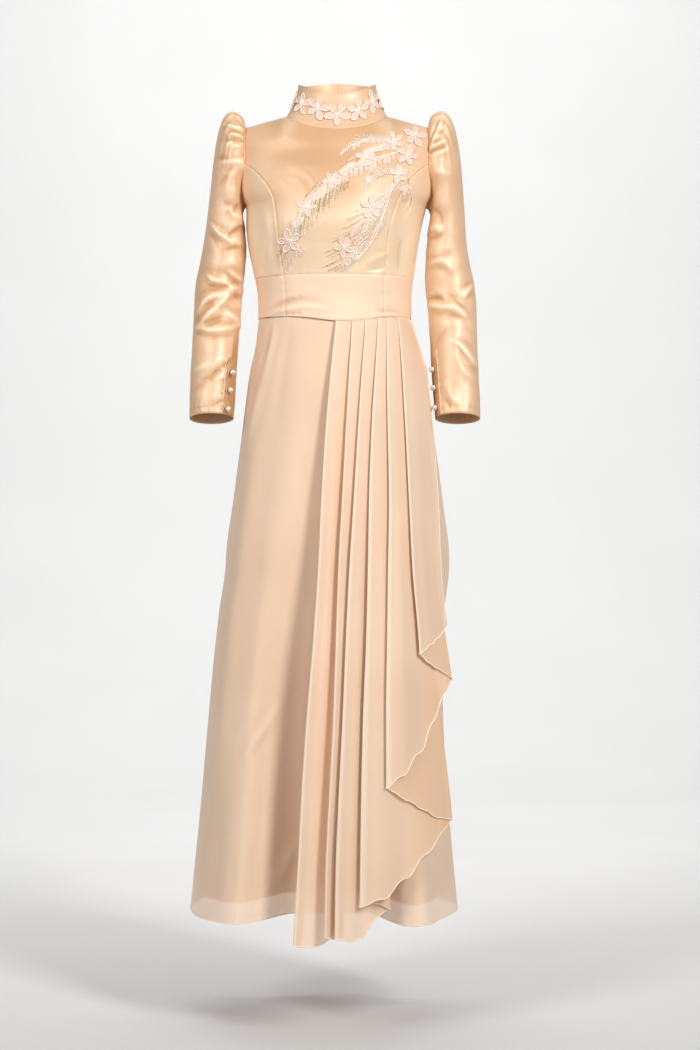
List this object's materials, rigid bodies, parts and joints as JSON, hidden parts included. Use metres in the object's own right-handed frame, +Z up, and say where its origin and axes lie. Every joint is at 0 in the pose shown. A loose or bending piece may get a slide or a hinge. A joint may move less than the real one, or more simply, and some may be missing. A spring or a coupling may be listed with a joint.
{
  "type": "filipiniana dress",
  "caption": "Long hollow gown in its worn form: stand collar, raised gathered sleeve heads, waistband, sheer skirt over a lining, pleated cascade overskirt and flower applique.",
  "frame": {"origin": "middle of the shoulder line, where the wearer's shoulders hold the gown", "axes": "+Z up, -Y the front of the gown, +X the wearer's left"},
  "size_m": [0.49, 0.4687, 1.438],
  "materials": {
    "satin": "satin weave with a soft sheen",
    "chiffon": "matte sheer chiffon",
    "lining": "smooth lining",
    "applique": "raised embroidery",
    "pearl": "pearl lustre"
  },
  "bodies": {
    "root": {"bodice_back_left": "satin", "bodice_back_right": "satin", "bodice_flower_1": "applique", "bodice_flower_10": "applique", "bodice_flower_2": "applique", "bodice_flower_3": "applique", "bodice_flower_4": "applique", "bodice_flower_5": "applique", "bodice_flower_6": "applique", "bodice_flower_7": "applique", "bodice_flower_8": "applique", "bodice_flower_9": "applique", "bodice_front_center": "satin", "bodice_side_front_left": "satin", "bodice_side_front_right": "satin", "bodice_spray_1": "applique", "bodice_spray_2": "applique", "bodice_spray_3": "applique", "bodice_spray_4": "applique", "bodice_spray_5": "applique", "bodice_spray_6": "applique", "collar": "satin", "collar_flower_1": "applique", "collar_flower_2": "applique", "collar_flower_3": "applique", "collar_flower_4": "applique", "collar_flower_5": "applique", "collar_flower_6": "applique", "collar_flower_7": "applique", "cuff_pearl_left_1": "pearl", "cuff_pearl_left_2": "pearl", "cuff_pearl_left_3": "pearl", "cuff_pearl_right_1": "pearl", "cuff_pearl_right_2": "pearl", "cuff_pearl_right_3": "pearl", "cuff_placket_left": "satin", "cuff_placket_right": "satin", "overskirt_drape": "chiffon", "skirt_back_left": "chiffon", "skirt_back_right": "chiffon", "skirt_front": "chiffon", "skirt_lining": "lining", "sleeve_left": "satin", "sleeve_right": "satin", "waistband_back_left": "satin", "waistband_back_right": "satin", "waistband_front": "satin", "waistband_side_left": "satin", "waistband_side_right": "satin"}
  },
  "joints": []
}
